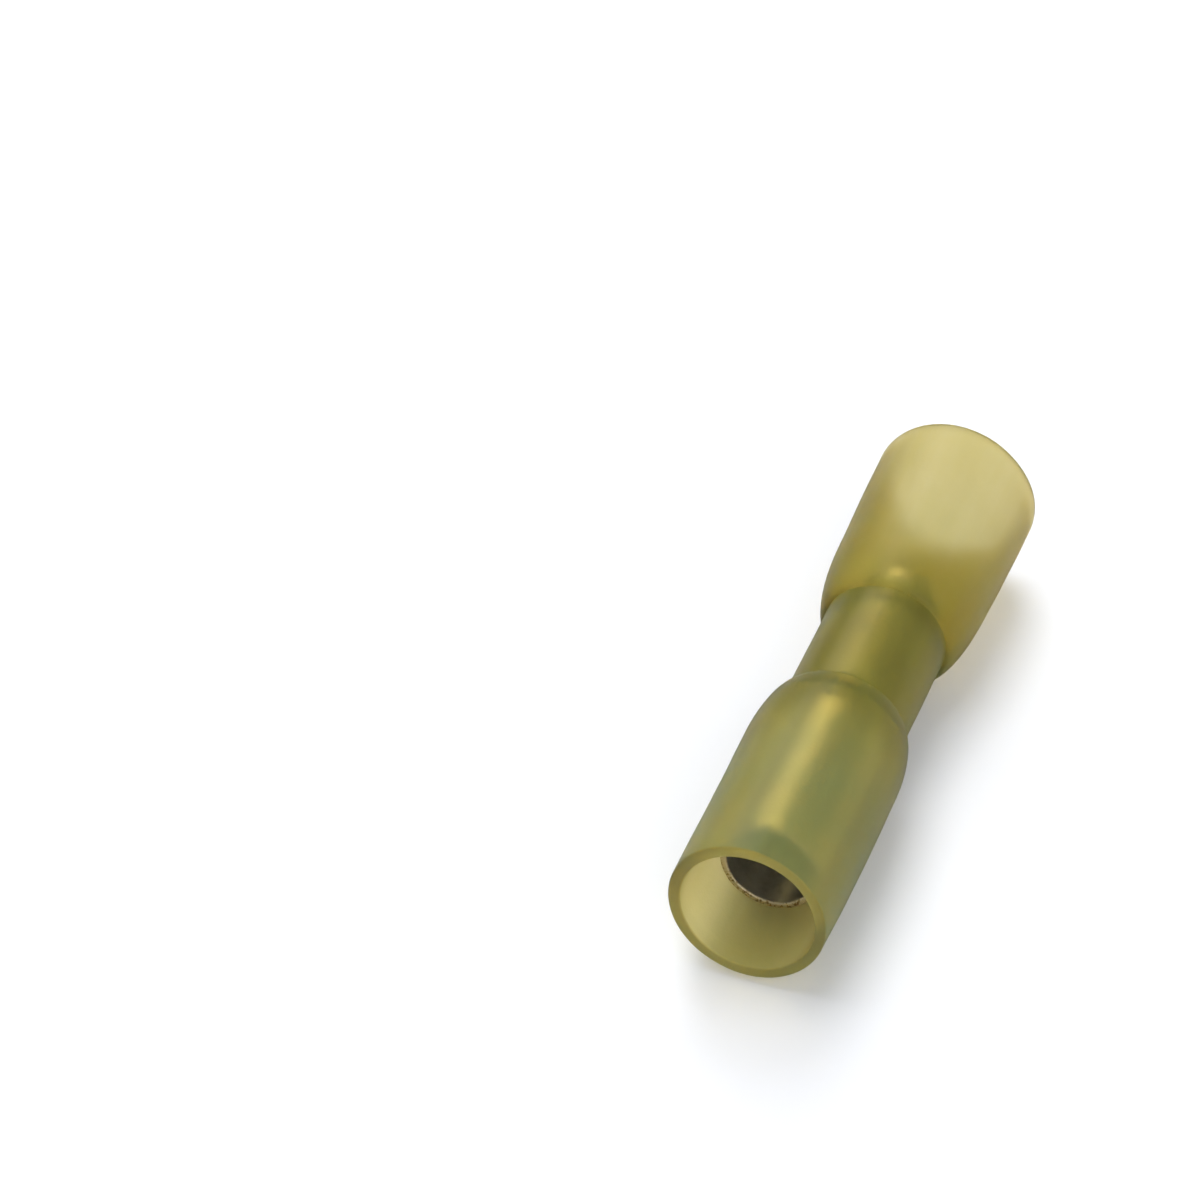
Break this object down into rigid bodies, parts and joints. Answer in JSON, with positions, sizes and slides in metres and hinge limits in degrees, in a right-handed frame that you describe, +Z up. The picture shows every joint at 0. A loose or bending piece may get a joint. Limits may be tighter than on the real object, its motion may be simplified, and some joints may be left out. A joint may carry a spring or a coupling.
{
  "type": "heat-shrink female bullet terminal",
  "caption": "Female bullet crimp terminal: a rolled socket and wire barrel in a translucent yellow heat-shrink sleeve with a bell at each end.",
  "frame": {"origin": "on the resting surface, below the middle of the sleeve's length", "axes": "+X along the terminal's axis, out of the mating mouth; +Z up; +Y to the side"},
  "size_m": [0.0386, 0.0102, 0.0102],
  "materials": {
    "sleeve_polyolefin": "translucent, semi-matte",
    "tinned_brass": "tin-plated, satin",
    "support_brass": "satin"
  },
  "bodies": {
    "root": {"heat_shrink_sleeve": "sleeve_polyolefin", "bullet_terminal": "tinned_brass", "crimp_support_sleeve": "support_brass"}
  },
  "joints": []
}
